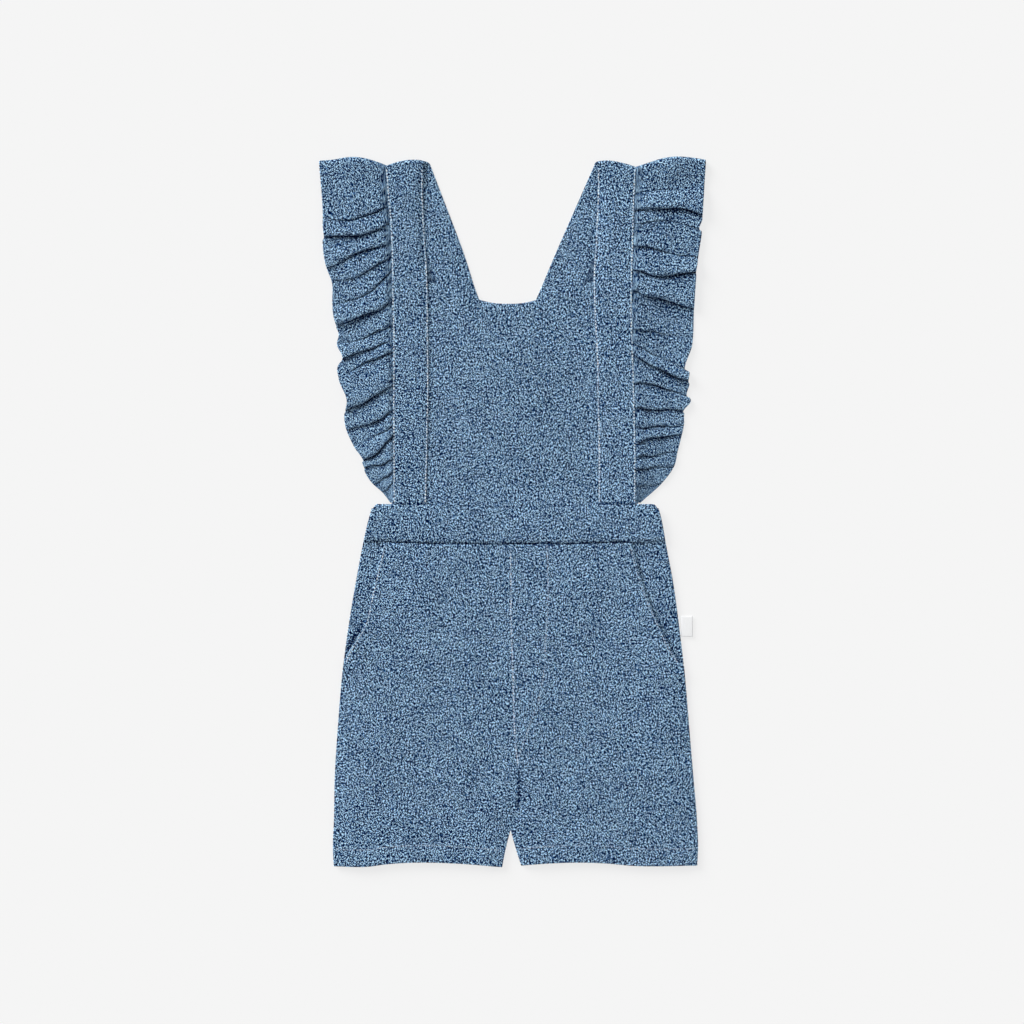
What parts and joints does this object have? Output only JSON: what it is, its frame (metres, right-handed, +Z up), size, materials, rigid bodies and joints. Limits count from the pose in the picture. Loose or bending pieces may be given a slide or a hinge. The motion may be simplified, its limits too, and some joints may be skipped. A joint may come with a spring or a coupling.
{
  "type": "shortalls",
  "caption": "Toddler's knit denim-look shortalls lying flat, front up, with a bib, flutter ruffles along the straps, a waistband, slanted pockets and short legs.",
  "frame": {"origin": "middle of the flat outline, on the surface that the garment lies on", "axes": "+Z up from the surface through the front panels, +Y from the hem to the shoulders along the garment's length, +X across to the side with the label"},
  "size_m": [0.272, 0.4996, 0.0074],
  "materials": {
    "denim": "soft mid-blue knit denim with a fine pale and dark twill speckle and pale topstitching",
    "label": "plain white woven tape, folded"
  },
  "bodies": {
    "root": {"bib_front": "denim", "strap_left": "denim", "strap_right": "denim", "ruffle_left": "denim", "ruffle_right": "denim", "waistband_front": "denim", "waistband_back": "denim", "shorts_front_left": "denim", "shorts_front_right": "denim", "shorts_back_left": "denim", "shorts_back_right": "denim", "pocket_facing_left": "denim", "pocket_facing_right": "denim", "side_label": "label"}
  },
  "joints": []
}
